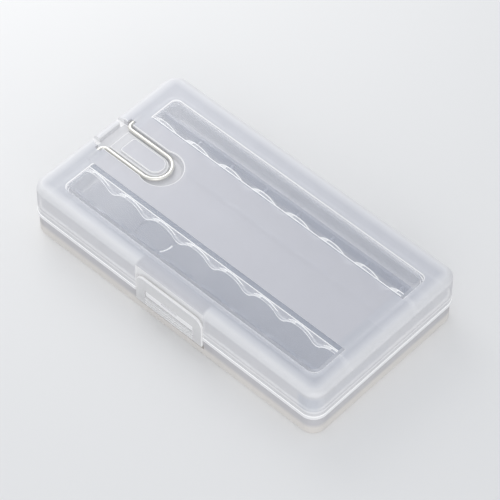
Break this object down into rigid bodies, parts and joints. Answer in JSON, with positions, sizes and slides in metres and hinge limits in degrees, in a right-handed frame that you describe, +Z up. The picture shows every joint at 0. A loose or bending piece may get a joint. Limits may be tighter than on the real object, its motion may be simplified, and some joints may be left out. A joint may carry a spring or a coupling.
{
  "type": "battery case",
  "caption": "Flat translucent plastic case for a row of round cells, with a hinged lid, a front latch clip and a fold-out wire hanging hook.",
  "frame": {"origin": "middle of the base's underside, on the surface that the case lies on", "axes": "+X from the hook end to the far end, +Y from the latch to the hinge, +Z up"},
  "size_m": [0.126, 0.0732, 0.022],
  "materials": {
    "milky_plastic": "translucent milky polypropylene with clear windows in the lid",
    "steel_wire": "bright drawn wire"
  },
  "bodies": {
    "base": {"base_tray": "milky_plastic"},
    "cover": {"lid": "milky_plastic"},
    "latch": {"latch_clip": "milky_plastic"},
    "hook": {"hanging_hook": "steel_wire"}
  },
  "joints": [
    {"name": "lid_hinge", "type": "hinge", "parent": "base", "child": "cover", "pos_m": [0, 0.0368, 0.0084], "axis": [-1, 0, 0], "range_deg": [0, 130]},
    {"name": "latch_hinge", "type": "hinge", "parent": "base", "child": "latch", "pos_m": [0, -0.0326, 0.0052], "axis": [1, 0, 0], "range_deg": [0, 60]},
    {"name": "hook_hinge", "type": "hinge", "parent": "cover", "child": "hook", "pos_m": [-0.0573, 0, 0.0209], "axis": [0, -1, 0], "range_deg": [0, 180]}
  ]
}
